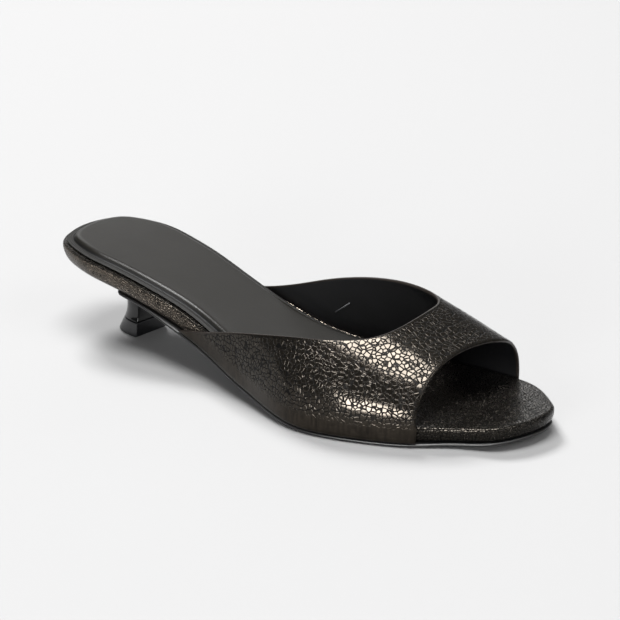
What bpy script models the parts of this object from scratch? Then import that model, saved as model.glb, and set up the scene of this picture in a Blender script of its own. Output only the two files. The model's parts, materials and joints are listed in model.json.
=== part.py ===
"""A sandal for the right foot: a low-heeled mule with one broad vamp, open at the toe.

Metres. +X runs to the toe, +Y to the inner (medial) side of the foot, +Z up. The floor is Z = 0.
The main form is worked out from length, ball width, heel height and instep height: the tables
hold a row for each section, and their lengths are shares of those named sizes.
"""

import math

import bpy

# Driving sizes of the shoe
LENGTH = 0.248
BALL_WIDTH = 0.082
HEEL_HEIGHT = 0.0331
INSTEP_HEIGHT = 0.078

# Thicknesses of what is laid up, from the floor upwards
SOLE = 0.0018
BOARD = 0.0090
WALL = 0.0016
GAP = 0.0003

# The outline of the footbed from above: how far along the shoe each section is, and its
# half width on the outer and on the inner side as shares of the ball width. The last row is
# the tip, which lies to the inner side of the line through the heel
TIP_SHIFT = 0.130
OUTLINE = (
    {"along": 0.000, "lateral": 0.000, "medial": 0.000},
    {"along": 0.025, "lateral": 0.246, "medial": 0.250},
    {"along": 0.095, "lateral": 0.354, "medial": 0.356},
    {"along": 0.205, "lateral": 0.355, "medial": 0.360},
    {"along": 0.345, "lateral": 0.349, "medial": 0.310},
    {"along": 0.500, "lateral": 0.479, "medial": 0.301},
    {"along": 0.655, "lateral": 0.618, "medial": 0.390},
    {"along": 0.795, "lateral": 0.515, "medial": 0.444},
    {"along": 0.905, "lateral": 0.344, "medial": 0.395},
    {"along": 0.972, "lateral": 0.245, "medial": 0.230},
    {"along": 1.000, "lateral": 0.000, "medial": 0.000},
)

# The side view: lift of the underside over the floor as a share of the heel height, and the
# thickness of the wrapped board as a share of BOARD. Two rows at zero make the flat tread
PROFILE = (
    {"along": 0.00, "lift": 1.000, "board": 0.985},
    {"along": 0.10, "lift": 0.932, "board": 0.980},
    {"along": 0.20, "lift": 0.778, "board": 1.000},
    {"along": 0.30, "lift": 0.577, "board": 0.965},
    {"along": 0.40, "lift": 0.355, "board": 0.890},
    {"along": 0.50, "lift": 0.158, "board": 0.833},
    {"along": 0.60, "lift": 0.046, "board": 0.810},
    {"along": 0.67, "lift": 0.000, "board": 0.780},
    {"along": 0.82, "lift": 0.000, "board": 0.755},
    {"along": 0.91, "lift": 0.030, "board": 0.722},
    {"along": 1.00, "lift": 0.104, "board": 0.700},
)

# How far the lower edge of the footbed is drawn in under the seat, and how far the outsole
# stands out from the footbed's outline, where the upper wraps it
SIDES = (
    {"along": 0.00, "draw": 0.0034, "stand": -0.0030},
    {"along": 0.20, "draw": 0.0030, "stand": -0.0026},
    {"along": 0.25, "draw": 0.0023, "stand": -0.0016},
    {"along": 0.31, "draw": 0.0014, "stand": 0.0012},
    {"along": 0.37, "draw": 0.0007, "stand": 0.0014},
    {"along": 0.84, "draw": 0.0007, "stand": 0.0014},
    {"along": 0.90, "draw": 0.0011, "stand": -0.0004},
    {"along": 1.00, "draw": 0.0013, "stand": -0.0008},
)

# The ridge over the instep: its height as a share of the instep height, and how far it lies
# to the inner side as a share of the ball width
RIDGE = (
    {"along": 0.26, "rise": 1.000, "shift": 0.000},
    {"along": 0.38, "rise": 0.987, "shift": 0.014},
    {"along": 0.50, "rise": 0.923, "shift": 0.034},
    {"along": 0.62, "rise": 0.795, "shift": 0.050},
    {"along": 0.74, "rise": 0.613, "shift": 0.068},
    {"along": 0.80, "rise": 0.532, "shift": 0.087},
    {"along": 0.86, "rise": 0.450, "shift": 0.107},
    {"along": 0.94, "rise": 0.374, "shift": 0.122},
)
LATERAL_ROUND = 2.05
MEDIAL_ROUND = 2.0

# Where the vamp begins and ends on each line over the foot. Turn is the angle round the
# section, from the outer feather edge (0) over the ridge (90) to the inner one (180)
VAMP = (
    {"turn": 0, "throat": 0.387, "peep": 0.849},
    {"turn": 12, "throat": 0.466, "peep": 0.849},
    {"turn": 23, "throat": 0.554, "peep": 0.849},
    {"turn": 33, "throat": 0.629, "peep": 0.849},
    {"turn": 40, "throat": 0.684, "peep": 0.848},
    {"turn": 46, "throat": 0.718, "peep": 0.848},
    {"turn": 53, "throat": 0.743, "peep": 0.849},
    {"turn": 60, "throat": 0.757, "peep": 0.851},
    {"turn": 69, "throat": 0.766, "peep": 0.855},
    {"turn": 79, "throat": 0.770, "peep": 0.861},
    {"turn": 88, "throat": 0.770, "peep": 0.868},
    {"turn": 97, "throat": 0.766, "peep": 0.873},
    {"turn": 106, "throat": 0.755, "peep": 0.876},
    {"turn": 115, "throat": 0.736, "peep": 0.876},
    {"turn": 124, "throat": 0.706, "peep": 0.874},
    {"turn": 136, "throat": 0.644, "peep": 0.870},
    {"turn": 148, "throat": 0.562, "peep": 0.867},
    {"turn": 158, "throat": 0.491, "peep": 0.865},
    {"turn": 167, "throat": 0.437, "peep": 0.863},
    {"turn": 180, "throat": 0.357, "peep": 0.861},
)
WING_SLANT = 0.064

# The padded insole: its edge lies in from the footbed's, a flat flange runs round a cushion
RIM = 0.0020
INSOLE_END = 0.635
INSOLE_NOSE = 0.030
INSOLE_ROUND = 2.4
INSOLE_EDGE = (
    {"inset": 0.0004, "height": GAP},
    {"inset": 0.0000, "height": 0.0006},
    {"inset": 0.0003, "height": 0.0010},
    {"inset": 0.0026, "height": 0.0011},
    {"inset": 0.0030, "height": 0.0008},
    {"inset": 0.0034, "height": 0.0010},
    {"inset": 0.0038, "height": 0.0020},
    {"inset": 0.0048, "height": 0.0028},
    {"inset": 0.0065, "height": 0.0032},
    {"inset": 0.0090, "height": 0.0034},
)

# The heel stands turned a little. Breast_half is half of the sole's width at its front face
BREAST_HALF = 0.026
HEEL_SHIFT = 0.0011
HEEL_TURN = math.radians(5)
HEEL_ROUND = 2.3

# The top piece under it, and the small round at its lower rim
TIP_HEIGHT = 0.0067
TIP_EDGE = (
    {"height": 0.0, "wide": 0.94},
    {"height": 0.0006, "wide": 1.00},
    {"height": TIP_HEIGHT, "wide": 1.00},
)

# The heel in sections from the floor up to the seat: share of the heel height, where the
# breast stands along the shoe, how deep the block is behind it, and its half width
HEEL_BREAST = 0.0396
HEEL_DEPTH = 0.0175
HEEL_HALF = 0.0099
HEEL = (
    {"up": 0.00, "breast": 1.000, "depth": 1.00, "half": 1.00},
    {"up": 0.08, "breast": 1.000, "depth": 0.93, "half": 0.97},
    {"up": 0.20, "breast": 0.995, "depth": 0.78, "half": 0.88},
    {"up": 0.29, "breast": 0.987, "depth": 0.69, "half": 0.79},
    {"up": 0.39, "breast": 0.985, "depth": 0.66, "half": 0.75},
    {"up": 0.47, "breast": 0.990, "depth": 0.68, "half": 0.77},
    {"up": 0.56, "breast": 1.000, "depth": 0.74, "half": 0.84},
    {"up": 0.70, "breast": 1.025, "depth": 0.84, "half": 0.98},
    {"up": 0.85, "breast": 1.060, "depth": 0.95, "half": 1.18},
    {"up": 1.00, "breast": 1.110, "depth": 1.10, "half": 1.45},
)

# The edges of the outsole and of the wrapped footbed, from the bottom to the top: how far in
# from the outline, and how high as a share of the thickness
SOLE_EDGE = (
    {"inset": 0.0006, "up": 0.00},
    {"inset": 0.0001, "up": 0.22},
    {"inset": 0.0000, "up": 0.80},
    {"inset": 0.0005, "up": 1.00},
)
BOARD_EDGE = (
    {"inset": 0.0012, "drawn": 1.00, "up": 0.00},
    {"inset": 0.0003, "drawn": 0.80, "up": 0.07},
    {"inset": 0.0000, "drawn": 0.52, "up": 0.22},
    {"inset": 0.0000, "drawn": 0.25, "up": 0.44},
    {"inset": 0.0000, "drawn": 0.07, "up": 0.68},
    {"inset": 0.0002, "drawn": 0.00, "up": 0.87},
    {"inset": 0.0007, "drawn": 0.00, "up": 0.96},
    {"inset": 0.0017, "drawn": 0.00, "up": 1.00},
)

# Fineness of the facets
OUTLINE_STEPS = 5
NOSE_STEPS = 9
VAMP_COLUMNS = 26
HEEL_POINTS = 17
HEEL_RINGS = 12


def between(rows, column, at):
    """The table's column at this place, on a smooth curve that never overshoots its rows."""
    key = next(iter(rows[0]))
    places = [row[key] for row in rows]
    values = [row[column] for row in rows]
    at = min(max(at, places[0]), places[-1])
    spans = [b - a for a, b in zip(places, places[1:])]
    slopes = [(b - a) / span for a, b, span in zip(values, values[1:], spans)]
    tangents = [slopes[0]]
    for before, after, left, right in zip(slopes, slopes[1:], spans, spans[1:]):
        if before * after <= 0:
            tangents.append(0.0)
            continue
        heavy, light = 2 * right + left, right + 2 * left
        tangents.append((heavy + light) / (heavy / before + light / after))
    tangents.append(slopes[-1])
    i = max(k for k in range(len(spans)) if places[k] <= at)
    s = (at - places[i]) / spans[i]
    rise = values[i] * (1 + 2 * s) * (1 - s) ** 2 + values[i + 1] * s * s * (3 - 2 * s)
    lean = tangents[i] * s * (1 - s) ** 2 - tangents[i + 1] * s * s * (1 - s)
    return rise + lean * spans[i]


def x_at(along):
    return (along - 0.5) * LENGTH


def along_at(x):
    return x / LENGTH + 0.5


def lift(x):
    """The underside of the outsole over the floor."""
    return HEEL_HEIGHT * between(PROFILE, "lift", along_at(x))


def board_low(x):
    return lift(x) + SOLE + GAP


def board_top(x):
    return board_low(x) + BOARD * between(PROFILE, "board", along_at(x))


def outline_loop():
    """The corners of the outline: down the outer side to the tip and back up the inner one."""
    loop = []
    for row in OUTLINE[:-1]:
        loop.append((x_at(row["along"]), -row["lateral"] * BALL_WIDTH))
    loop.append((x_at(OUTLINE[-1]["along"]), TIP_SHIFT * BALL_WIDTH))
    for row in OUTLINE[-2:0:-1]:
        loop.append((x_at(row["along"]), row["medial"] * BALL_WIDTH))
    return loop


def heading(loop, i):
    """The direction of the outline at a corner, weighed by the lengths of the chords beside it."""
    before, here, after = loop[i - 1], loop[i], loop[(i + 1) % len(loop)]
    left, right = math.dist(before, here), math.dist(here, after)
    found = []
    for a, b, c in zip(before, here, after):
        found.append(((b - a) / left * right + (c - b) / right * left) / (left + right))
    return found


def outline_point(step, side):
    """A point of the footbed's outline. Step counts the table's rows from heel to toe."""
    loop = outline_loop()
    i = min(int(step), len(OUTLINE) - 2)
    s = step - i
    a = i if side < 0 else (len(loop) - i) % len(loop)
    b = i + 1 if side < 0 else len(loop) - i - 1
    chord = math.dist(loop[a], loop[b])
    found = []
    for p, q, u, v in zip(loop[a], loop[b], heading(loop, a), heading(loop, b)):
        rise = p * (1 + 2 * s) * (1 - s) ** 2 + q * s * s * (3 - 2 * s)
        lean = u * s * (1 - s) ** 2 - v * s * s * (1 - s)
        found.append(rise + (lean if side < 0 else -lean) * chord)
    return found


def outline_side(start, stop, side, count):
    """Points down one side of the footbed's outline, between two places in table rows."""
    return [outline_point(start + (stop - start) * k / count, side) for k in range(count + 1)]


def ring_of(near, far):
    """One loop round a shape, anticlockwise from above: (x, y, outward x, outward y)."""
    back = far[::-1]
    if near[-1] == far[-1]:
        back = back[1:]
    if near[0] == far[0]:
        back = back[:-1]
    loop = near + back
    ring = []
    for i, (x, y) in enumerate(loop):
        ax, ay = loop[i - 1]
        bx, by = loop[(i + 1) % len(loop)]
        size = math.hypot(bx - ax, by - ay)
        ring.append((x, y, (by - ay) / size, (ax - bx) / size))
    return ring


def layer(ring, inset, height):
    """The ring moved in by inset(x) and set at height(x)."""
    points = []
    for x, y, nx, ny in ring:
        px, py = x - nx * inset(x), y - ny * inset(x)
        points.append((px, py, height(px)))
    return points


def step_at(x, side):
    """The place in table rows at which the outline's side reaches x, found by halving."""
    low, high = 0.0, float(len(OUTLINE) - 1)
    for _ in range(30):
        middle = (low + high) / 2
        if outline_point(middle, side)[0] < x:
            low = middle
        else:
            high = middle
    return low


def half_width(x, side):
    return outline_point(step_at(x, side), side)[1]


def reach(x, side, off):
    """The side's line moved out by off, measured square to the outline."""
    h = 0.001
    slope = (half_width(x + h, side) - half_width(x - h, side)) / (2 * h)
    return half_width(x, side) + side * off * math.sqrt(1 + slope * slope)


def material(name, colour, metallic, roughness):
    made = bpy.data.materials.new(name)
    made.use_nodes = True
    shader = made.node_tree.nodes["Principled BSDF"]
    shader.inputs["Base Color"].default_value = (*colour, 1)
    shader.inputs["Metallic"].default_value = metallic
    shader.inputs["Roughness"].default_value = roughness
    return made


def add_object(name, points, faces, finish):
    mesh = bpy.data.meshes.new(name)
    mesh.from_pydata(points, [], faces)
    mesh.validate()
    made = bpy.data.objects.new(name, mesh)
    bpy.context.scene.collection.objects.link(made)
    made.data.materials.append(finish)
    return made


def loft(name, layers, pairs, finish):
    """A closed solid through rings of equal count, lowest first.

    pairs joins the loop's two sides across the shoe, for the faces underneath and on top."""
    count = len(layers[0])
    points = [point for ring in layers for point in ring]
    faces = []
    for level in range(len(layers) - 1):
        for i in range(count):
            j = (i + 1) % count
            a, b = level * count, (level + 1) * count
            faces.append((a + i, a + j, b + j, b + i))
    top = (len(layers) - 1) * count
    for (a, d), (b, c) in zip(pairs, pairs[1:]):
        corners = []
        for corner in (a, b, c, d):
            if corner not in corners:
                corners.append(corner)
        faces.append([top + corner for corner in corners])
        faces.append([corner for corner in reversed(corners)])
    return add_object(name, points, faces, finish)


def pairs_of(count, rows, shared_heel):
    """Which points of a loop face each other across the shoe."""
    pairs = []
    for k in range(rows):
        pairs.append((k, (count - k) % count if shared_heel else count - 1 - k))
    return pairs


def make_footbed(finish):
    last = len(OUTLINE) - 1
    near = outline_side(0, last, -1, last * OUTLINE_STEPS)
    far = outline_side(0, last, 1, last * OUTLINE_STEPS)
    ring = ring_of(near, far)
    layers = []
    for row in BOARD_EDGE:
        def inset(x, row=row):
            return row["inset"] + row["drawn"] * between(SIDES, "draw", along_at(x))

        def height(x, row=row):
            return board_low(x) + (board_top(x) - board_low(x)) * row["up"]
        layers.append(layer(ring, inset, height))
    return loft("footbed", layers, pairs_of(len(ring), len(near), True), finish)


def make_outsole(finish):
    """The thin sole, cut off along the turned line of the heel's breast."""
    last = len(OUTLINE) - 1
    breast = x_at(0) + HEEL_BREAST * HEEL[-1]["breast"] + GAP
    lean = math.tan(HEEL_TURN)
    sides = []
    for side in (-1, 1):
        start = step_at(breast + side * lean * BREAST_HALF, side)
        sides.append(outline_side(start, last, side, (last - 2) * OUTLINE_STEPS))
    near, far = sides
    ring = ring_of(near, far)
    ring[0] = (*ring[0][:2], 0.0, -1.0)
    ring[-1] = (*ring[-1][:2], 0.0, 1.0)
    layers = []
    for row in SOLE_EDGE:
        def inset(x, row=row):
            return row["inset"] - between(SIDES, "stand", along_at(x))

        def height(x, row=row):
            return lift(x) + SOLE * row["up"]
        layers.append(layer(ring, inset, height))
    return loft("outsole", layers, pairs_of(len(ring), len(near), False), finish)


def make_insole(finish):
    """The padded sock: a flange, a stitched-down groove and a raised cushion."""
    rows = []
    for side in (-1, 1):
        stop = step_at(x_at(INSOLE_END), side)
        rows.append(outline_side(0, stop, side, round(stop * OUTLINE_STEPS)))
    count = min(len(row) for row in rows) - 1
    near, far = [
        outline_side(0, step_at(x_at(INSOLE_END), side), side, count) for side in (-1, 1)
    ]
    ends = near[-1], far[-1]
    middle = (ends[0][1] + ends[1][1]) / 2
    half = (ends[1][1] - ends[0][1]) / 2
    for side, line in ((-1, near), (1, far)):
        for k in range(1, NOSE_STEPS + 1):
            turn = math.pi / 2 * k / NOSE_STEPS
            x = x_at(INSOLE_END) + INSOLE_NOSE * math.sin(turn) ** (2 / INSOLE_ROUND)
            y = middle + side * half * max(math.cos(turn), 0) ** (2 / INSOLE_ROUND)
            line.append([x, y])
        line[-1] = [x_at(INSOLE_END) + INSOLE_NOSE, middle]
    ring = ring_of(near, far)
    layers = []
    for row in INSOLE_EDGE:
        def inset(x, row=row):
            return RIM + row["inset"]

        def height(x, row=row):
            return board_top(x) + row["height"]
        layers.append(layer(ring, inset, height))
    return loft("insole", layers, pairs_of(len(ring), len(near), True), finish)


def vamp_point(x, turn, drop=0.0):
    """A point of the vamp's outer face. Drop goes down the footbed's side to its lower edge."""
    side = -1 if turn < 90 else 1
    angle = math.radians(turn if turn < 90 else 180 - turn)
    along = along_at(x)
    power = LATERAL_ROUND if turn < 90 else MEDIAL_ROUND
    ridge_y = BALL_WIDTH * between(RIDGE, "shift", along)
    ridge_z = INSTEP_HEIGHT * between(RIDGE, "rise", along)
    edge_y = reach(x, side, GAP + WALL)
    edge_z = board_top(x)
    y = ridge_y + (edge_y - ridge_y) * max(math.cos(angle), 0) ** (2 / power)
    z = edge_z + (ridge_z - edge_z) * math.sin(angle) ** (2 / power)
    return x, y, z - drop * (edge_z - board_low(x))


def minus(a, b):
    return [p - q for p, q in zip(a, b)]


def unit(a):
    size = math.sqrt(sum(p * p for p in a))
    return [p / size for p in a]


def cross(a, b):
    return [a[1] * b[2] - a[2] * b[1], a[2] * b[0] - a[0] * b[2], a[0] * b[1] - a[1] * b[0]]


def vamp_normal(x, turn):
    """The outward direction of the vamp's face, from its slopes along and round the foot."""
    low, high = max(turn - 1, 0.5), min(turn + 1, 179.5)
    if high - low < 1:
        low, high = (0.5, 1.5) if turn < 90 else (178.5, 179.5)
    round_foot = minus(vamp_point(x, high), vamp_point(x, low))
    h = 0.0005
    along_foot = minus(vamp_point(x + h, turn), vamp_point(x - h, turn))
    found = unit(cross(round_foot, along_foot))
    outward = -1 if turn < 90 else 1
    if turn in (0, 180):
        return unit([found[0], outward * abs(found[1]), 0.0])
    if found[2] < 0 and 20 < turn < 160 or found[1] * outward < 0 and not 20 < turn < 160:
        return [-p for p in found]
    return found


def vamp_lines():
    """The vamp's lines round the section: (turn, drop down the footbed's side)."""
    turns = [0, 5, 10, 15.5, 21, 26.5, 32, 37.5, 43, 48.5, 54, 60, 66, 72.5, 79, 85.5, 92, 98.5,
             105, 111, 117, 124, 131, 138, 145, 150.5, 156, 162, 168, 174, 180]
    lines = [(0, 1.0), (0, 0.66), (0, 0.33)]
    lines += [(turn, 0.0) for turn in turns]
    return lines + [(180, 0.33), (180, 0.66), (180, 1.0)]


def make_upper(finish):
    """The vamp as a shell of one wall, its rims rounded as a turned edge."""
    outer, inner = [], []
    for turn, drop in vamp_lines():
        throat = between(VAMP, "throat", turn) - WING_SLANT * drop
        peep = between(VAMP, "peep", turn) - 0.002 * drop
        out_row, in_row = [], []
        for k in range(VAMP_COLUMNS + 1):
            x = x_at(throat + (peep - throat) * k / VAMP_COLUMNS)
            point = vamp_point(x, turn, drop)
            normal = vamp_normal(x, turn)
            out_row.append(point)
            in_row.append([p - WALL * n for p, n in zip(point, normal)])
        outer.append(out_row)
        inner.append(in_row)
    rims = []
    for first, second in ((0, 1), (-1, -2)):
        rim = [[], []]
        for out_row, in_row in zip(outer, inner):
            for k, share in enumerate((0.25, 0.75)):
                away = unit(minus(out_row[first], out_row[second]))
                point = [p + (q - p) * share + 0.35 * WALL * d
                         for p, q, d in zip(out_row[first], in_row[first], away)]
                rim[k].append(point)
        rims.append(rim)
    columns = [[row[k] for row in outer] for k in range(VAMP_COLUMNS + 1)]
    columns += rims[1]
    columns += [[row[k] for row in inner] for k in range(VAMP_COLUMNS, -1, -1)]
    columns += rims[0][::-1]
    rows = len(outer)
    points = [point for column in columns for point in column]
    faces = []
    for c in range(len(columns)):
        d = (c + 1) % len(columns)
        for r in range(rows - 1):
            faces.append((c * rows + r, d * rows + r, d * rows + r + 1, c * rows + r + 1))
    total = len(columns)
    for r, order in ((0, 1), (rows - 1, -1)):
        loop = [c * rows + r for c in range(total)]
        middle = VAMP_COLUMNS
        faces.append([loop[total - 1], loop[0], loop[middle + 3 + VAMP_COLUMNS],
                      loop[total - 2]][::-order])
        faces.append([loop[middle], loop[middle + 1], loop[middle + 2], loop[middle + 3]][::-order])
        for k in range(VAMP_COLUMNS):
            a, b = loop[k], loop[k + 1]
            c, d = loop[2 * VAMP_COLUMNS + 3 - k - 1], loop[2 * VAMP_COLUMNS + 3 - k]
            faces.append([a, b, c, d][::-order])
    return add_object("upper", points, faces, finish)


def heel_section(up):
    """One section of the heel from above, from its near breast corner round the back."""
    breast = x_at(0) + HEEL_BREAST * between(HEEL, "breast", up)
    depth = HEEL_DEPTH * between(HEEL, "depth", up)
    half = HEEL_HALF * between(HEEL, "half", up)
    points = []
    for k in range(HEEL_POINTS + 1):
        angle = math.pi * k / HEEL_POINTS
        x = -depth * math.sin(angle) ** (2 / HEEL_ROUND)
        c = math.cos(angle)
        y = -half * math.copysign(abs(c) ** (2 / HEEL_ROUND), c)
        points.append((breast + x * math.cos(HEEL_TURN) + y * math.sin(HEEL_TURN),
                       HEEL_SHIFT + y * math.cos(HEEL_TURN) - x * math.sin(HEEL_TURN)))
    return points[::-1]


def make_heel(finish):
    """The waisted block. Its sections turn from level to the slope of the seat."""
    low = TIP_HEIGHT + GAP
    count = HEEL_POINTS + 1
    layers = []
    for k in range(HEEL_RINGS + 1):
        share = k / HEEL_RINGS
        up = low / HEEL_HEIGHT + (1 - low / HEEL_HEIGHT) * share
        points = []
        for x, y in heel_section(up):
            top = board_low(x) - GAP
            points.append((x, y, low + (top - low) * share))
        layers.append(points)
    pairs = [(k, count - 1 - k) for k in range(count // 2)]
    return loft("heel", layers, pairs, finish)


def make_heel_tip(finish):
    count = HEEL_POINTS + 1
    layers = []
    for row in TIP_EDGE:
        height, wide = row["height"], row["wide"]
        section = heel_section(height / HEEL_HEIGHT)
        cx = sum(x for x, y in section) / count
        cy = sum(y for x, y in section) / count
        layers.append([(cx + (x - cx) * wide, cy + (y - cy) * wide, height) for x, y in section])
    pairs = [(k, count - 1 - k) for k in range(count // 2)]
    return loft("heel_tip", layers, pairs, finish)


def centre_over_origin(pieces):
    """Moves the whole shoe so that its bounding box is centred on X = Y = 0."""
    points = [vertex.co for piece in pieces for vertex in piece.data.vertices]
    for axis in (0, 1):
        places = [point[axis] for point in points]
        middle = (min(places) + max(places)) / 2
        for point in points:
            point[axis] -= middle


def main():
    for old in list(bpy.data.objects):
        bpy.data.objects.remove(old)
    crackle = material("crackle_leather", (0.045, 0.036, 0.031), 0.6, 0.32)
    wrap = material("crackle_wrap", (0.042, 0.034, 0.030), 0.6, 0.34)
    sock = material("sock_leather", (0.012, 0.011, 0.010), 0.0, 0.62)
    rubber = material("sole_rubber", (0.008, 0.008, 0.008), 0.0, 0.55)
    lacquer = material("heel_lacquer", (0.004, 0.004, 0.005), 0.0, 0.18)
    top_piece = material("top_piece_rubber", (0.006, 0.006, 0.006), 0.0, 0.35)
    pieces = [
        make_outsole(rubber),
        make_footbed(wrap),
        make_insole(sock),
        make_upper(crackle),
        make_heel(lacquer),
        make_heel_tip(top_piece),
    ]
    centre_over_origin(pieces)


main()
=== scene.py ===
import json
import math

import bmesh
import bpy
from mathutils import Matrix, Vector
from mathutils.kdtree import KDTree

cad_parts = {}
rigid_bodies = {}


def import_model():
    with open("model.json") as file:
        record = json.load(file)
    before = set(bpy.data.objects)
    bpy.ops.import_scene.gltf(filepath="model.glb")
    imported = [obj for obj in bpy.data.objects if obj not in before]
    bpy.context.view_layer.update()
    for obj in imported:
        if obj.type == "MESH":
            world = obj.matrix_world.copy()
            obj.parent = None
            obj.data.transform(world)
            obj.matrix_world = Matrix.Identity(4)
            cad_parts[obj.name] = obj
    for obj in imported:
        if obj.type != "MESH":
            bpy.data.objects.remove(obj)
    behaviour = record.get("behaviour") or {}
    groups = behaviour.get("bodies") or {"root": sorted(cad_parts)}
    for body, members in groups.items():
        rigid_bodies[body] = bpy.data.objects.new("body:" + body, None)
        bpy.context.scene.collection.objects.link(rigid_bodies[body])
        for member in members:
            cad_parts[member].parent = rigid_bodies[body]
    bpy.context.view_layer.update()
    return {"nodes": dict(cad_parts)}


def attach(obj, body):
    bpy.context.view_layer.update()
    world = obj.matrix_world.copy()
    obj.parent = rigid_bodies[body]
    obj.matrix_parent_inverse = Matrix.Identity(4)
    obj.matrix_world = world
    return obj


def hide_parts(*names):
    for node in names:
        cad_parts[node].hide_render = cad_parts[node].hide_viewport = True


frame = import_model()

# %% [markdown]
# # A low-heeled mule for the right foot, dressed
# The model loaded above is the shoe as solids: outsole, wrapped footbed, padded insole, upper,
# heel and top piece, all in metres, with the toe along +X, the inner side along +Y and the floor
# at Z = 0. This lesson gives those solids the looks of the real shoe: foil-coated leather broken
# into small pebbles, a smooth lining, a matt padded insole and a lacquered heel.

MM = 0.001

# %% [markdown]
# ## The camera
# A product photograph is taken from a few shoe lengths away with a long lens, so the far end of
# the shoe hardly shrinks. The camera looks at one point inside the shoe. Its place is worked out
# from two angles and a distance, because those are what one reads from a photograph: the turn
# round the shoe, the height over the horizon, and how strongly near parts grow.

# %% The camera
VIEW_TURN = math.radians(36.5)
VIEW_HEIGHT = math.radians(20.6)
VIEW_DISTANCE = 1.2
VIEW_TARGET = Vector((-0.01288, 0.03158, 0.020))
LENS = 157.1

back = Vector((
    math.sin(VIEW_TURN) * math.cos(VIEW_HEIGHT),
    -math.cos(VIEW_TURN) * math.cos(VIEW_HEIGHT),
    math.sin(VIEW_HEIGHT),
))
lens = bpy.data.cameras.new("studio_camera")
lens.lens = LENS
lens.sensor_width = 36
lens.clip_start = 0.05
lens.clip_end = 20
camera = bpy.data.objects.new("studio_camera", lens)
bpy.context.scene.collection.objects.link(camera)
camera.location = VIEW_TARGET + back * VIEW_DISTANCE
camera.rotation_euler = back.to_track_quat("Z", "Y").to_euler()
bpy.context.scene.camera = camera
print("camera at", [round(v, 3) for v in camera.location])

# %% [markdown]
# ## Floor and backdrop
# The shoe stands on a pale sheet of paper that runs back and curves up behind it. A dark glossy
# shoe shows little of its own colour and mostly mirrors this room, so the room is built with
# care: pale floor, pale wall behind, dark space on the camera's side and soft lights above.
# The sheet is a plane whose far edge is extruded up in steps of a quarter circle.

# %% One way to start a piece by hand
def only(obj):
    """Deselects everything and makes this object the active one."""
    if bpy.context.object and bpy.context.object.mode != "OBJECT":
        bpy.ops.object.mode_set(mode="OBJECT")
    bpy.ops.object.select_all(action="DESELECT")
    obj.select_set(True)
    bpy.context.view_layer.objects.active = obj
    return obj


def lying_flat(obj):
    """Puts the object's place, turn and size into its mesh."""
    only(obj)
    bpy.ops.object.transform_apply(location=True, rotation=True, scale=True)
    return obj


# %% The paper sweep
PAPER_HALF = 4.0
SWEEP_RADIUS = 0.7
SWEEP_STEPS = 10

bpy.ops.object.select_all(action="DESELECT")
bpy.ops.mesh.primitive_plane_add(size=2 * PAPER_HALF, location=(0, 0, 0))
paper = bpy.context.object
paper.name = "paper_sweep"
bpy.ops.object.mode_set(mode="EDIT")
shell = bmesh.from_edit_mesh(paper.data)
bpy.ops.mesh.select_all(action="DESELECT")
bpy.ops.mesh.select_mode(type="EDGE")
for edge in shell.edges:
    edge.select_set(all(v.co.y > PAPER_HALF * 0.9 for v in edge.verts))
bmesh.update_edit_mesh(paper.data)
for step in range(SWEEP_STEPS):
    lean = math.radians(90) * (step + 0.5) / SWEEP_STEPS
    run = SWEEP_RADIUS * math.radians(90) / SWEEP_STEPS
    move = (0, run * math.cos(lean), run * math.sin(lean))
    bpy.ops.mesh.extrude_region_move(TRANSFORM_OT_translate={"value": move})
bpy.ops.mesh.extrude_region_move(TRANSFORM_OT_translate={"value": (0, 0, 2.0)})
bpy.ops.object.mode_set(mode="OBJECT")
lying_flat(paper)
bpy.ops.object.shade_smooth()
# The sheet is turned so that its rising end stands behind the shoe as the camera sees it
paper.rotation_euler = (0, 0, VIEW_TURN)
lying_flat(paper)
print("paper sweep faces:", len(paper.data.polygons))

# %% [markdown]
# ## Colours and nodes
# Colours are written as the screen shows them, in hex. Blender mixes light in linear values, so
# one function turns a hex colour to linear. A second function adds a node, sets it and links it.

# %% Hex to linear, and one node
def colour(code):
    """A linear colour from an sRGB hex one."""
    parts = []
    for k in (1, 3, 5):
        share = int(code[k:k + 2], 16) / 255
        parts.append(share / 12.92 if share <= 0.04045 else ((share + 0.055) / 1.055) ** 2.4)
    return (*parts, 1)


def node(made, kind, settings=None, **inputs):
    """Adds a node. Settings are its own, and inputs are values or the sockets linked to them."""
    added = made.node_tree.nodes.new("ShaderNode" + kind)
    for name, value in (settings or {}).items():
        setattr(added, name, value)
    for name, value in inputs.items():
        place = int(name[1:]) if name[0] == "i" and name[1:].isdigit() else name.replace("_", " ")
        if isinstance(value, bpy.types.NodeSocket):
            made.node_tree.links.new(value, added.inputs[place])
        else:
            added.inputs[place].default_value = value
    return added


def finish(name, base, roughness, metallic=0.0, ior=1.5):
    """A new material: returns it with its shader."""
    made = bpy.data.materials.new(name)
    made.use_nodes = True
    shader = made.node_tree.nodes["Principled BSDF"]
    shader.inputs["Base Color"].default_value = colour(base)
    shader.inputs["Roughness"].default_value = roughness
    shader.inputs["Metallic"].default_value = metallic
    shader.inputs["IOR"].default_value = ior
    made.diffuse_color = colour(base)
    return made, shader


# %% Paper
# Matt seamless paper: rough cellulose, so it scatters light evenly and shows no mirror image
matt_paper, shader = finish("matt_seamless_paper", "#666666", 0.9)
shader.inputs["Specular IOR Level"].default_value = 0.1
where = node(matt_paper, "TexCoord")
fibres = node(matt_paper, "TexNoise", {"noise_dimensions": "3D"},
              Vector=where.outputs["Object"], Scale=700.0, Detail=3.0)
bumps = node(matt_paper, "Bump", Strength=0.03, Distance=0.0002, Height=fibres.outputs["Fac"])
matt_paper.node_tree.links.new(bumps.outputs["Normal"], shader.inputs["Normal"])
paper.data.materials.append(matt_paper)

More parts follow.
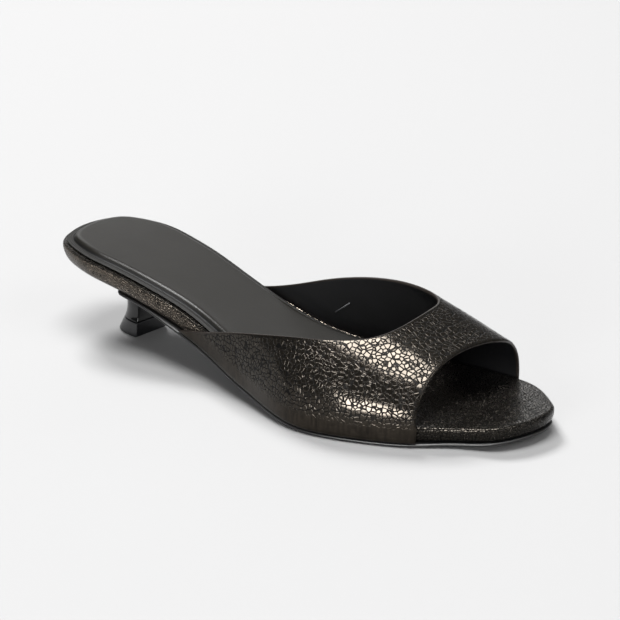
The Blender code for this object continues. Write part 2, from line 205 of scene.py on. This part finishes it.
# %% [markdown]
# ## The lights
# The shadow and the shine say where the lights stood. The shadow falls towards the camera, so the
# largest panel hangs behind the shoe. The two clusters of shine on the upper are mirror images
# of a panel overhead and of a low one in front. Everything else is a dim room.

# %% Panels of light
def light_panel(name, turn, height, distance, size, power):
    """A square panel that faces the shoe. Turn and height are where it stands, in degrees."""
    turn, height = math.radians(turn), math.radians(height)
    made = bpy.data.lights.new(name, "AREA")
    made.shape = "RECTANGLE"
    made.size, made.size_y = size
    made.energy = power
    lamp = bpy.data.objects.new(name, made)
    bpy.context.scene.collection.objects.link(lamp)
    towards = Vector((
        math.sin(turn) * math.cos(height), -math.cos(turn) * math.cos(height), math.sin(height),
    ))
    lamp.location = towards * distance
    lamp.rotation_euler = towards.to_track_quat("Z", "Y").to_euler()
    lamp.visible_camera = False
    return lamp


light_panel("overhead_panel", 14, 80, 2.5, (1.3, 1.3), 188)
key = light_panel("back_key_panel", -120, 49, 4.5, (1.4, 1.4), 850)
light_panel("side_panel", 87, 38, 2.5, (1.4, 1.4), 30)
light_panel("low_front_panel", 13, 9.5, 2.0, (0.8, 0.55), 60)
# The foil mirrors a broad dim glow in place of the small bright key
key.visible_glossy = False
light_panel("back_wall_glow", -135, 30, 3.4, (2.6, 1.6), 20)
# Low cards all round lift the shadow under the arch, and leave no mirror image on the foil
CARD_TURNS = (-165, -75, 60, 130)
for turn in CARD_TURNS:
    card = light_panel("low_card", turn, 14, 2.5, (1.8, 0.8), 13)
    card.visible_glossy = False
room = bpy.data.worlds.new("studio_room")
bpy.context.scene.world = room
room.use_nodes = True
room.node_tree.nodes["Background"].inputs["Color"].default_value = colour("#d8dadc")
room.node_tree.nodes["Background"].inputs["Strength"].default_value = 0.14
# The picture is shown as a camera's own screen would, so that the pale paper stays pale
bpy.context.scene.view_settings.view_transform = "Standard"

# %% [markdown]
# ## The crackled foil leather
# Leather is pressed with a pebble grain, laid over with a dark pewter foil and milled until the
# foil breaks along the grooves. Each pebble is a small mirror at its own slight tilt, so under a
# panel of light some flash and some stay dark, with black grooves round them. It could be
# modelled pebble by pebble, but a pebble is only 2 mm wide: a cell pattern with a bump does it.

# %% Crackled foil
def crackled_foil(name, pebble, pewter, shaped, relief=0.07):
    """Foil leather with cells of this width in metres. A shaped one is flatter at its rims.
    Relief is the height of a pebble as a share of its width."""
    made, shader = finish(name, pewter, 0.22, metallic=0.9)
    links = made.node_tree.links
    where = node(made, "TexCoord")
    drift = node(made, "TexNoise", Vector=where.outputs["Object"], Scale=0.35 / pebble, Detail=1.0)
    push = node(made, "VectorMath", {"operation": "MULTIPLY_ADD"}, i0=drift.outputs["Color"],
                i1=(0.9 * pebble,) * 3, i2=where.outputs["Object"])
    cell = node(made, "TexVoronoi", Vector=push.outputs[0], Scale=1 / pebble, Randomness=0.8)
    rift = node(made, "TexVoronoi", {"feature": "DISTANCE_TO_EDGE"}, Vector=push.outputs[0],
                Scale=1 / pebble, Randomness=0.8)
    groove = node(made, "MapRange", {"interpolation_type": "SMOOTHSTEP"},
                  Value=rift.outputs["Distance"], From_Min=0.03, From_Max=0.13)
    dome = node(made, "MapRange", {"interpolation_type": "SMOOTHERSTEP"},
                Value=rift.outputs["Distance"], From_Min=0.0, From_Max=0.17)
    # The tilt of each pebble: its random colour taken as a direction, times the way to its middle
    middle = node(made, "VectorMath", {"operation": "SUBTRACT"}, i0=push.outputs[0],
                  i1=cell.outputs["Position"])
    lean = node(made, "VectorMath", {"operation": "SUBTRACT"}, i0=cell.outputs["Color"],
                i1=(0.5, 0.5, 0.5))
    tilt = node(made, "VectorMath", {"operation": "DOT_PRODUCT"}, i0=middle.outputs[0],
                i1=lean.outputs[0])
    tilt_height = node(made, "Math", {"operation": "MULTIPLY"}, i0=tilt.outputs["Value"],
                       i1=0.45 / pebble)
    crinkle = node(made, "TexNoise", Vector=where.outputs["Object"], Scale=3.0 / pebble,
                   Detail=3.0, Roughness=0.6)
    crinkle_height = node(made, "Math", {"operation": "MULTIPLY"}, i0=crinkle.outputs["Fac"],
                          i1=0.06)
    fine = node(made, "Math", {"operation": "ADD"}, i0=tilt_height.outputs[0],
                i1=crinkle_height.outputs[0])
    height = node(made, "Math", {"operation": "ADD"}, i0=dome.outputs[0], i1=fine.outputs[0])
    strength, open_groove = 0.85, groove.outputs[0]
    if shaped:
        rim = node(made, "Attribute", {"attribute_name": "rim"})
        inside = node(made, "MapRange", {"interpolation_type": "SMOOTHSTEP"},
                      Value=rim.outputs["Fac"], From_Min=0.7 * MM, From_Max=1.6 * MM,
                      To_Min=0.10, To_Max=0.85)
        lasting = node(made, "Attribute", {"attribute_name": "lasting"})
        pulled = node(made, "MapRange", {"interpolation_type": "SMOOTHSTEP"},
                      Value=lasting.outputs["Fac"], From_Min=5 * MM, From_Max=10 * MM,
                      To_Min=0.15, To_Max=1.0)
        kept = node(made, "Math", {"operation": "MULTIPLY"}, i0=inside.outputs[0],
                    i1=pulled.outputs[0])
        strength = kept.outputs[0]
        closed = node(made, "Math", {"operation": "SUBTRACT"}, i0=1.0, i1=pulled.outputs[0])
        shut = node(made, "Math", {"operation": "MAXIMUM"}, i0=groove.outputs[0],
                    i1=closed.outputs[0])
        open_groove = shut.outputs[0]
    bump = node(made, "Bump", Strength=strength, Distance=relief * pebble, Height=height.outputs[0])
    links.new(bump.outputs["Normal"], shader.inputs["Normal"])
    shade = node(made, "MixRGB", Fac=open_groove, Color1=colour("#0a0908"),
                 Color2=colour(pewter))
    if shaped:
        # Pulled leather: the strain draws fine creases square to the edge and closes the grooves
        flat = node(made, "VectorMath", {"operation": "MULTIPLY"}, i0=where.outputs["Object"],
                    i1=(1.0, 1.0, 0.14))
        strain = node(made, "TexNoise", Vector=flat.outputs[0], Scale=1000.0, Detail=1.0)
        band = node(made, "MixRGB", Fac=strain.outputs["Fac"], Color1=colour("#0a0807"),
                    Color2=colour("#3a342d"))
        shade = node(made, "MixRGB", Fac=closed.outputs[0], Color1=shade.outputs[0],
                     Color2=band.outputs[0])
    worn = node(made, "MapRange", Value=cell.outputs["Color"], To_Min=0.85, To_Max=1.15)
    varied = node(made, "VectorMath", {"operation": "MULTIPLY"}, i0=shade.outputs[0],
                  i1=worn.outputs[0])
    links.new(varied.outputs[0], shader.inputs["Base Color"])
    gloss = node(made, "MapRange", Value=crinkle.outputs["Fac"], From_Min=0.3, From_Max=0.7,
                 To_Min=0.10, To_Max=0.17)
    dull = node(made, "MapRange", Value=open_groove, To_Min=0.35, To_Max=0.0)
    rough = node(made, "Math", {"operation": "ADD"}, i0=gloss.outputs[0], i1=dull.outputs[0])
    links.new(rough.outputs[0], shader.inputs["Roughness"])
    return made


PEBBLE = 1.95 * MM
foil_leather = crackled_foil("crackled_foil_leather", PEBBLE, "#302c27", True)
foil_wrap = crackled_foil("crackled_foil_wrap", 1.2 * MM, "#26231f", False, 0.16)
# The wrap's sides take a lighter copy of its foil, which is painted light, with finer pebbles where it
# is stretched
painted_light_foil_side = crackled_foil("painted_light_stretched_foil", 0.9 * MM, "#544d45", False, 0.17)
# The gathered roll takes a much lighter copy of the wrap's foil, a painted highlight
painted_highlight_foil_beads = crackled_foil("gathered_foil_painted_highlight", 1.5 * MM, "#5a534b", False, 0.25)
print("pebbles across the ball of the foot:", round(0.082 / PEBBLE))

# %% [markdown]
# ## Smooth leathers, rubber and lacquer
# The plain materials differ in how rough they are and in the size of their grain. Each has a fine
# noise as a bump of a tenth of a millimetre, because a perfectly even face looks like plastic.

# %% Smooth leathers, rubber and lacquer
GRAIN_DEPTH = 0.1 * MM


def grained(made, shader, waves, detail, strength):
    """Gives a finish a fine even grain with this many waves to a metre."""
    place = node(made, "TexCoord")
    noise = node(made, "TexNoise", Vector=place.outputs["Object"], Scale=waves, Detail=detail)
    raised = node(made, "Bump", Strength=strength, Distance=GRAIN_DEPTH,
                  Height=noise.outputs["Fac"])
    made.node_tree.links.new(raised.outputs["Normal"], shader.inputs["Normal"])


# Turned edge: the same foil leather skived thin and folded, so the grain is stretched smooth
turned_leather, shader = finish("turned_foil_edge", "#1f1b18", 0.34, metallic=0.6)
grained(turned_leather, shader, 1400.0, 3.0, 0.25)

# Coated lining: thin black polyurethane on cloth, smooth with a broad soft shine
lining, shader = finish("coated_lining", "#050506", 0.36)
where = node(lining, "TexCoord")
waves = node(lining, "TexNoise", Vector=where.outputs["Object"], Scale=60.0, Detail=1.0)
pores = node(lining, "TexNoise", Vector=where.outputs["Object"], Scale=2500.0, Detail=2.0)
both = node(lining, "Math", {"operation": "MULTIPLY_ADD"}, i0=waves.outputs["Fac"], i1=6.0,
            i2=pores.outputs["Fac"])
bump = node(lining, "Bump", Strength=0.35, Distance=0.00012, Height=both.outputs[0])
lining.node_tree.links.new(bump.outputs["Normal"], shader.inputs["Normal"])

# Sock leather: matt polyurethane over foam, with a fine even grain that breaks up the light.
# The ridges of its flange, the groove and the cushion's shoulder lie this far in from its edge
RIDGE_APART, GROOVE_IN, SHOULDER_IN = 1.05 * MM, 3.1 * MM, 4.9 * MM
sock_leather, shader = finish("matt_sock_leather", "#0c0a09", 0.6)
shader.inputs["Specular IOR Level"].default_value = 0.30
where = node(sock_leather, "TexCoord")
grain = node(sock_leather, "TexVoronoi", Vector=where.outputs["Object"], Scale=1600.0)
cloud = node(sock_leather, "TexNoise", Vector=where.outputs["Object"], Scale=35.0, Detail=4.0)
# The press leaves fine ridges round the flange, which follow the distance to its edge
rim = node(sock_leather, "Attribute", {"attribute_name": "rim"})
turns = node(sock_leather, "Math", {"operation": "MULTIPLY"}, i0=rim.outputs["Fac"],
             i1=2 * math.pi / RIDGE_APART)
ridge = node(sock_leather, "Math", {"operation": "SINE"}, i0=turns.outputs[0])
on_flange = node(sock_leather, "MapRange", {"interpolation_type": "SMOOTHSTEP"},
                 Value=rim.outputs["Fac"], From_Min=2.4 * MM, From_Max=3.0 * MM,
                 To_Min=1.0, To_Max=0.0)
ridges = node(sock_leather, "Math", {"operation": "MULTIPLY"}, i0=ridge.outputs[0],
              i1=on_flange.outputs[0])
tall = node(sock_leather, "Math", {"operation": "MULTIPLY_ADD"}, i0=ridges.outputs[0], i1=9.0,
            i2=grain.outputs["Distance"])
bump = node(sock_leather, "Bump", Strength=0.22, Distance=GRAIN_DEPTH, Height=tall.outputs[0])
# Painted shade: the troughs between the ridges are coloured darker
ridge_trough_shade = node(sock_leather, "MapRange", Value=ridges.outputs[0], From_Min=-0.9, From_Max=0.0,
               To_Min=0.0, To_Max=1.0)
painted_shade_tone = node(sock_leather, "MixRGB", Fac=ridge_trough_shade.outputs[0], Color1=colour("#020202"),
            Color2=colour("#0b0a08"))
# The stitched-down groove stays dark: no light reaches its floor
off_groove = node(sock_leather, "Math", {"operation": "SUBTRACT"}, i0=rim.outputs["Fac"],
                  i1=GROOVE_IN)
beside = node(sock_leather, "Math", {"operation": "ABSOLUTE"}, i0=off_groove.outputs[0])
open_air = node(sock_leather, "MapRange", {"interpolation_type": "SMOOTHSTEP"},
                Value=beside.outputs[0], From_Min=0.3 * MM, From_Max=0.9 * MM)
painted_shade_tone = node(sock_leather, "MixRGB", Fac=open_air.outputs[0], Color1=colour("#010101"),
            Color2=painted_shade_tone.outputs[0])
sock_leather.node_tree.links.new(painted_shade_tone.outputs[0], shader.inputs["Base Color"])
sock_leather.node_tree.links.new(bump.outputs["Normal"], shader.inputs["Normal"])
# The cushion's shoulder is burnished where the press rubbed it, so it shines a little
off_shoulder = node(sock_leather, "Math", {"operation": "SUBTRACT"}, i0=rim.outputs["Fac"],
                    i1=SHOULDER_IN)
apart = node(sock_leather, "Math", {"operation": "ABSOLUTE"}, i0=off_shoulder.outputs[0])
burnish = node(sock_leather, "MapRange", {"interpolation_type": "SMOOTHSTEP"},
               Value=apart.outputs[0], From_Min=0.6 * MM, From_Max=2.2 * MM,
               To_Min=-0.26, To_Max=0.0)
dulled = node(sock_leather, "MapRange", Value=cloud.outputs["Fac"], From_Min=0.3, From_Max=0.7,
              To_Min=0.54, To_Max=0.64)
rubbed = node(sock_leather, "Math", {"operation": "ADD"}, i0=dulled.outputs[0],
              i1=burnish.outputs[0])
sock_leather.node_tree.links.new(rubbed.outputs[0], shader.inputs["Roughness"])

# Sole rubber: moulded black thermoplastic rubber with a cut edge, satin
sole_rubber, shader = finish("moulded_sole_rubber", "#0b0b0b", 0.42)
grained(sole_rubber, shader, 900.0, 4.0, 0.3)

# Lacquered heel: a moulded ABS block sprayed black, a mirror with the faintest orange peel
heel_lacquer, shader = finish("lacquered_abs", "#030303", 0.10, ior=1.42)
grained(heel_lacquer, shader, 420.0, 1.0, 0.05)

# Top piece: hard polyurethane pressed against the floor, ground flush and polished
top_piece_finish, shader = finish("ground_top_piece", "#08080a", 0.22)
grained(top_piece_finish, shader, 1100.0, 3.0, 0.12)

# Thread: twisted polyester, its twist a fine slanting ripple
tack_thread, shader = finish("polyester_thread", "#3c3c3e", 0.5)
where = node(tack_thread, "TexCoord")
twist = node(tack_thread, "TexWave", {"bands_direction": "DIAGONAL"}, Vector=where.outputs["Object"],
             Scale=900.0)
bump = node(tack_thread, "Bump", Strength=0.5, Distance=GRAIN_DEPTH, Height=twist.outputs["Fac"])
tack_thread.node_tree.links.new(bump.outputs["Normal"], shader.inputs["Normal"])

print("materials:", [m.name for m in bpy.data.materials])

# %% [markdown]
# ## From solid to dressed piece
# Each solid is copied to a piece of its own. The solid's triangles lie loose, so they are first
# joined at their corners and paired back to four-sided faces, which a subdivision rounds well.

# %% A piece from a solid
def piece_from(solid, name):
    """A copy of a solid: corners merged, triangles paired, riding on the shoe in its place."""
    only(frame["nodes"][solid])
    made = bpy.data.objects.new(name, frame["nodes"][solid].data.copy())
    bpy.context.scene.collection.objects.link(made)
    only(made)
    made.data.materials.clear()
    bpy.ops.object.mode_set(mode="EDIT")
    bpy.ops.mesh.select_all(action="SELECT")
    bpy.ops.mesh.remove_doubles(threshold=0.00002)
    bpy.ops.mesh.tris_convert_to_quads(face_threshold=math.radians(50),
                                       shape_threshold=math.radians(70))
    bpy.ops.mesh.select_all(action="DESELECT")
    bpy.ops.object.mode_set(mode="OBJECT")
    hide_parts(solid)
    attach(made, "root")
    quads = sum(len(p.vertices) == 4 for p in made.data.polygons)
    print(name, "faces:", len(made.data.polygons), "four-sided:", quads)
    return made


def add_modifier(obj, kind, **settings):
    """Adds a modifier, sets it and applies it."""
    only(obj)
    modifier = obj.modifiers.new(kind.lower(), kind)
    for name, value in settings.items():
        setattr(modifier, name, value)
    bpy.ops.object.modifier_apply(modifier=modifier.name)


def rounded(obj, levels):
    """Rounds the piece by subdivision and shades it smooth."""
    add_modifier(obj, "SUBSURF", levels=levels, render_levels=levels)
    bpy.ops.object.shade_smooth()


def pick(obj, kind, test):
    """In edit mode, selects the vertices, edges or faces that pass the test."""
    bpy.ops.mesh.select_mode(type=kind)
    bpy.ops.mesh.select_all(action="DESELECT")
    shell = bmesh.from_edit_mesh(obj.data)
    parts = {"VERT": shell.verts, "EDGE": shell.edges, "FACE": shell.faces}[kind]
    count = 0
    for part in parts:
        part.select_set(bool(test(part)))
        count += part.select
    shell.select_flush_mode()
    bmesh.update_edit_mesh(obj.data)
    return count


def split_across(obj, least, cuts):
    """Cuts the long edges that cross the shoe on the top and the underside of a layer."""
    only(obj)
    bpy.ops.object.mode_set(mode="EDIT")
    count = pick(obj, "EDGE", lambda e: abs((e.verts[0].co - e.verts[1].co).y) > least
                 and abs((e.verts[0].co - e.verts[1].co).x) < 0.35 * e.calc_length())
    bpy.ops.mesh.subdivide(number_cuts=cuts)
    bpy.ops.object.mode_set(mode="OBJECT")
    print(obj.name, "edges across:", count)


# %% [markdown]
# ## Upper
# The real upper is cut from foil leather, its edges skived, folded over and glued to a thin
# lining, so a smooth dark roll runs round the topline and the toe opening. The outer face, the
# lining and the roll are found by the sharp edges of the solid between them.

# %% The upper's three regions
upper = piece_from("upper", "upper_leather")
for made in (foil_leather, lining, turned_leather):
    upper.data.materials.append(made)

bpy.ops.object.mode_set(mode="EDIT")
bpy.ops.mesh.select_mode(type="EDGE")
bpy.ops.mesh.select_all(action="DESELECT")
bpy.ops.mesh.edges_select_sharp(sharpness=math.radians(28))
bpy.ops.mesh.mark_sharp()
shell = bmesh.from_edit_mesh(upper.data)


def lasted_under(edge):
    """True for an edge of the underside, where the leather is pulled under the footbed."""
    for face in edge.link_faces:
        middle = face.calc_center_median()
        under = middle.z < 6 * MM or (middle.z < 24 * MM and middle.x < 20 * MM)
        if face.normal.z < -0.8 and under:
            return True
    return False


rim_points, lasting_points = [], []
for edge in shell.edges:
    if edge.select:
        first, second = edge.verts[0].co, edge.verts[1].co
        steps = max(1, int((second - first).length / (0.3 * MM)))
        line = [first.lerp(second, k / steps) for k in range(steps + 1)]
        (lasting_points if lasted_under(edge) else rim_points).extend(line)
for face in shell.faces:
    face.material_index = 2
MIDDLE_OF_VAMP = Vector((0.075, -0.008, 0.034))
for slot_index, facing in ((0, 1), (1, -1)):
    shell = bmesh.from_edit_mesh(upper.data)
    shell.faces.ensure_lookup_table()
    facing_faces = [f for f in shell.faces if f.normal.z * facing > 0.5]
    seed = min(facing_faces, key=lambda f: (f.calc_center_median() - MIDDLE_OF_VAMP).length)
    bpy.ops.mesh.select_mode(type="FACE")
    bpy.ops.mesh.select_all(action="DESELECT")
    seed.select_set(True)
    bmesh.update_edit_mesh(upper.data)
    bpy.ops.mesh.select_linked(delimit={"SHARP"})
    upper.active_material_index = slot_index
    bpy.ops.object.material_slot_assign()
    print("region", slot_index, "faces:", sum(f.select for f in bmesh.from_edit_mesh(upper.data).faces))
bpy.ops.mesh.select_mode(type="EDGE")
bpy.ops.mesh.select_all(action="SELECT")
bpy.ops.mesh.mark_sharp(clear=True)
bpy.ops.object.mode_set(mode="OBJECT")
rounded(upper, 2)
# The foil leather is folded back inside the rear end of the inner wing as a facing
FACING_END = -36 * MM
for face in upper.data.polygons:
    if face.material_index == 1 and face.center.x < FACING_END and face.center.y > 0:
        face.material_index = 0

# %% [markdown]
# ## Soft creases
# Leather pulled over a last keeps a few shallow troughs and ridges where it bends down to the
# sole. Each row is one of them: x, y and z, its reach along and across, and its
# depth, all in mm. A ridge has a negative depth. The outer face and the lining move together, so
# the leather keeps its thickness.

# %% Soft creases
CREASES = (
    (34, -38, 20, 5.0, 11.0, 0.45), (20, -37, 22, 4.0, 9.0, -0.25), (-6, -33, 22, 5.0, 8.0, 0.35),
    (62, -36, 24, 5.5, 10.0, 0.30), (46, 38, 24, 5.0, 10.0, 0.40), (20, 35, 25, 5.0, 9.0, 0.30),
)
for v in upper.data.vertices:
    x, y, z = v.co / MM
    if z > 48:
        continue
    for at_x, at_y, at_z, along, across, deep in CREASES:
        if abs(x - at_x) > 30 or abs(y - at_y) > 20:
            continue
        slant = (x - at_x) + 0.5 * (z - at_z)
        reach = math.exp(-(slant / along) ** 2 - ((z - at_z) / across) ** 2 - ((y - at_y) / 9) ** 2)
        v.co.y += math.copysign(deep * MM * reach, -at_y)
print("creases:", len(CREASES))

# %% [markdown]
# ## Distance to the rim
# The grain fades within a millimetre of the folded edge, so each point keeps its distance to it.
# A search tree over points along the edges finds the nearest one quickly.

# %% Distance to the rim
def keep_distance(obj, points, name):
    """Writes each vertex's distance to the nearest of the points to an attribute."""
    tree = KDTree(len(points))
    for i, point in enumerate(points):
        tree.insert(point, i)
    tree.balance()
    held = obj.data.attributes.new(name, "FLOAT", "POINT")
    held.data.foreach_set("value", [tree.find(v.co)[2] for v in obj.data.vertices])


keep_distance(upper, rim_points, "rim")
keep_distance(upper, lasting_points, "lasting")
print("upper vertices:", len(upper.data.vertices), "rim points:", len(rim_points))

# %% [markdown]
# ## Footbed
# A fibre board is wrapped in the same leather, a little finer, pulled over its edge and under.

# %% Footbed
footbed = piece_from("footbed", "footbed_wrap")
footbed.data.materials.append(foil_wrap)
footbed.data.materials.append(painted_light_foil_side)
split_across(footbed, 12 * MM, 9)
rounded(footbed, 2)
# Rear faces that turn sideways or down get the lighter copy, painted light; the rest keeps the darker
# foil
for face in footbed.data.polygons:
    face.material_index = 1 if face.normal.z < 0.45 and face.center.x < 0 else 0

# %% [markdown]
# ## Insole
# The padded sock is foam under matt leather. A press flattens its edge to a thin flange with a
# groove inside it, and the cushion swells up from the groove. A cloth simulation could swell it,
# but the solid has the swell already, so its points are only moved a little by a few given rules.

# %% Insole
insole = piece_from("insole", "padded_insole")
insole.data.materials.append(sock_leather)
split_across(insole, 12 * MM, 11)
rounded(insole, 1)
edge_points = [v.co.copy() for v in insole.data.vertices if -0.9 < v.normal.z < 0.2]
keep_distance(insole, edge_points, "rim")
# The foam is fullest just inside the pressed groove and has settled a little under heel and ball
PUFF_IN, PUFF_WIDE, PUFF_HIGH = 5.0 * MM, 1.1 * MM, 0.22 * MM
SETTLED = ((-88, 3, 22, 0.45), (18, 4, 26, 0.35))
inner = insole.data.attributes["rim"].data
for v in insole.data.vertices:
    if v.normal.z > 0.4:
        rise = PUFF_HIGH * math.exp(-((inner[v.index].value - PUFF_IN) / PUFF_WIDE) ** 2)
        for x, y, wide, deep in SETTLED:
            away = math.hypot(v.co.x / MM - x, v.co.y / MM - y) / wide
            rise -= deep * MM * math.exp(-away * away) * min(1, inner[v.index].value / (9 * MM))
        v.co.z += rise

# %% [markdown]
# ## Two small details inside the upper
# Where the inner wing stands on the footbed, the wrap is gathered to a narrow roll whose broken
# foil sparkles like a row of beads. A bar tack, a short row of tight stitches, holds the lining.
# The roll is a circle pushed along its path step by step, and the tack is a fine cylinder.

# %% The gathered roll
ROLL_RADIUS = 0.55 * MM
ROLL_PATH = ((-27, 29.0), (-23, 29.9), (-13, 31.1), (-2, 31.5), (8, 32.6), (16, 34.3), (24, 36.4))


def on_footbed(x, y):
    """The point of the footbed's top under this place, in metres."""
    found, place, _, _ = footbed.ray_cast(Vector((x * MM, y * MM, 0.08)), Vector((0, 0, -1)))
    return place + Vector((0, 0, 0.6 * ROLL_RADIUS))


stops = [on_footbed(*place) for place in ROLL_PATH]
path = [stops[k].lerp(stops[k + 1], t / 6) for k in range(len(stops) - 1) for t in range(6)]
bpy.ops.object.select_all(action="DESELECT")
bpy.ops.mesh.primitive_circle_add(vertices=12, radius=ROLL_RADIUS, fill_type="NGON",
                                  location=path[0], rotation=(0, math.radians(90), 0))
roll = bpy.context.object
roll.name = "gathered_roll"
bpy.ops.object.mode_set(mode="EDIT")
bpy.ops.mesh.select_all(action="SELECT")
for before, after in zip(path, path[1:]):
    bpy.ops.mesh.extrude_region_move(TRANSFORM_OT_translate={"value": after - before})
bpy.ops.mesh.select_all(action="SELECT")
bpy.ops.mesh.normals_make_consistent(inside=False)
bpy.ops.object.mode_set(mode="OBJECT")
lying_flat(roll)
bpy.ops.object.shade_smooth()
# The roll's lighter foil colour is a painted highlight
roll.data.materials.append(painted_highlight_foil_beads)
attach(roll, "root")
print("roll, mm:", [round(side / MM, 1) for side in roll.dimensions])

# %% The bar tack
TACK_LOW, TACK_HIGH = Vector((0.7, 32.0, 21.9)) * MM, Vector((8.2, 32.4, 27.7)) * MM
TACK_RADIUS = 0.28 * MM
span = TACK_HIGH - TACK_LOW
bpy.ops.object.select_all(action="DESELECT")
bpy.ops.mesh.primitive_cylinder_add(vertices=10, radius=TACK_RADIUS, depth=span.length,
                                    location=(TACK_LOW + TACK_HIGH) / 2,
                                    rotation=span.to_track_quat("Z", "Y").to_euler())
tack = bpy.context.object
tack.name = "bar_tack"
lying_flat(tack)
tack.data.materials.append(tack_thread)
bpy.ops.object.shade_smooth()
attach(tack, "root")

# %% [markdown]
# ## Outsole, heel and top piece
# These three are moulded, not sewn. The sole's edge is rounded by subdivision, and the heel's
# corners get a narrow bevel first, so that they catch a thin line of light as lacquer does.

# %% Outsole
outsole = piece_from("outsole", "outsole_edge")
outsole.data.materials.append(sole_rubber)
split_across(outsole, 12 * MM, 5)
rounded(outsole, 1)

# %% Heel and top piece
heel = piece_from("heel", "heel_block")
heel.data.materials.append(heel_lacquer)
add_modifier(heel, "BEVEL", width=0.5 * MM, segments=2, limit_method="ANGLE",
             angle_limit=math.radians(40))
rounded(heel, 2)
tip = piece_from("heel_tip", "heel_top_piece")
tip.data.materials.append(top_piece_finish)
add_modifier(tip, "BEVEL", width=0.4 * MM, segments=2, limit_method="ANGLE",
             angle_limit=math.radians(40))
rounded(tip, 2)
